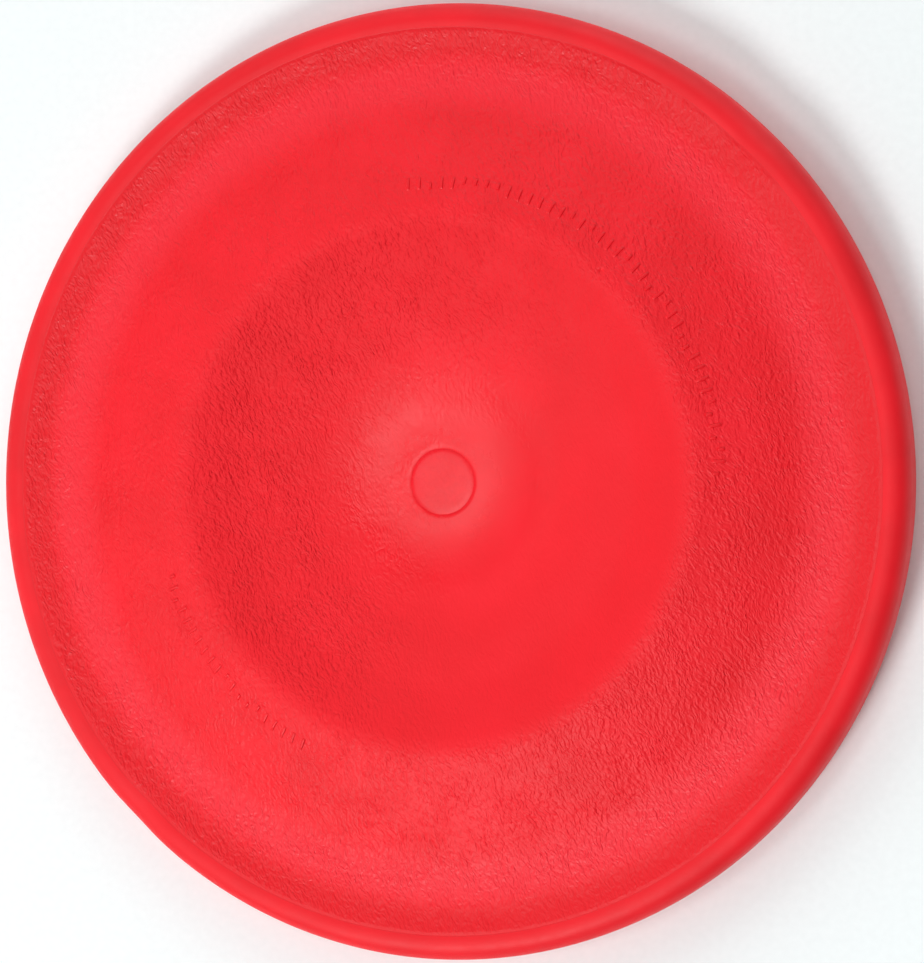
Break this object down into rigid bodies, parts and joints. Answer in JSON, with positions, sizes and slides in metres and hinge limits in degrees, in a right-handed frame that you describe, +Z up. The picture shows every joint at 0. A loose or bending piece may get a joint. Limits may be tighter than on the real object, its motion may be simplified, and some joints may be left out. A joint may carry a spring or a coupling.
{
  "type": "flying disc",
  "caption": "Round flying disc for throwing: grained plate with a round crest and a dished middle, smooth rim with a rounded shoulder, small plug at the centre.",
  "frame": {"origin": "centre of the circle that the rim's foot stands on", "axes": "+Z up along the disc's axis, out of its top; the disc is round about +Z, so X and Y are any two directions across it"},
  "size_m": [0.235, 0.235, 0.0242],
  "materials": {
    "grained_plate": "fine leather grain moulded into soft red polyethylene, with a satin sheen",
    "smooth_rim": "smooth, satin, soft red polyethylene",
    "smooth_plug": "smooth, satin, soft red polyethylene"
  },
  "bodies": {
    "root": {"flight_plate": "grained_plate", "rim": "smooth_rim", "centre_plug": "smooth_plug"}
  },
  "joints": []
}
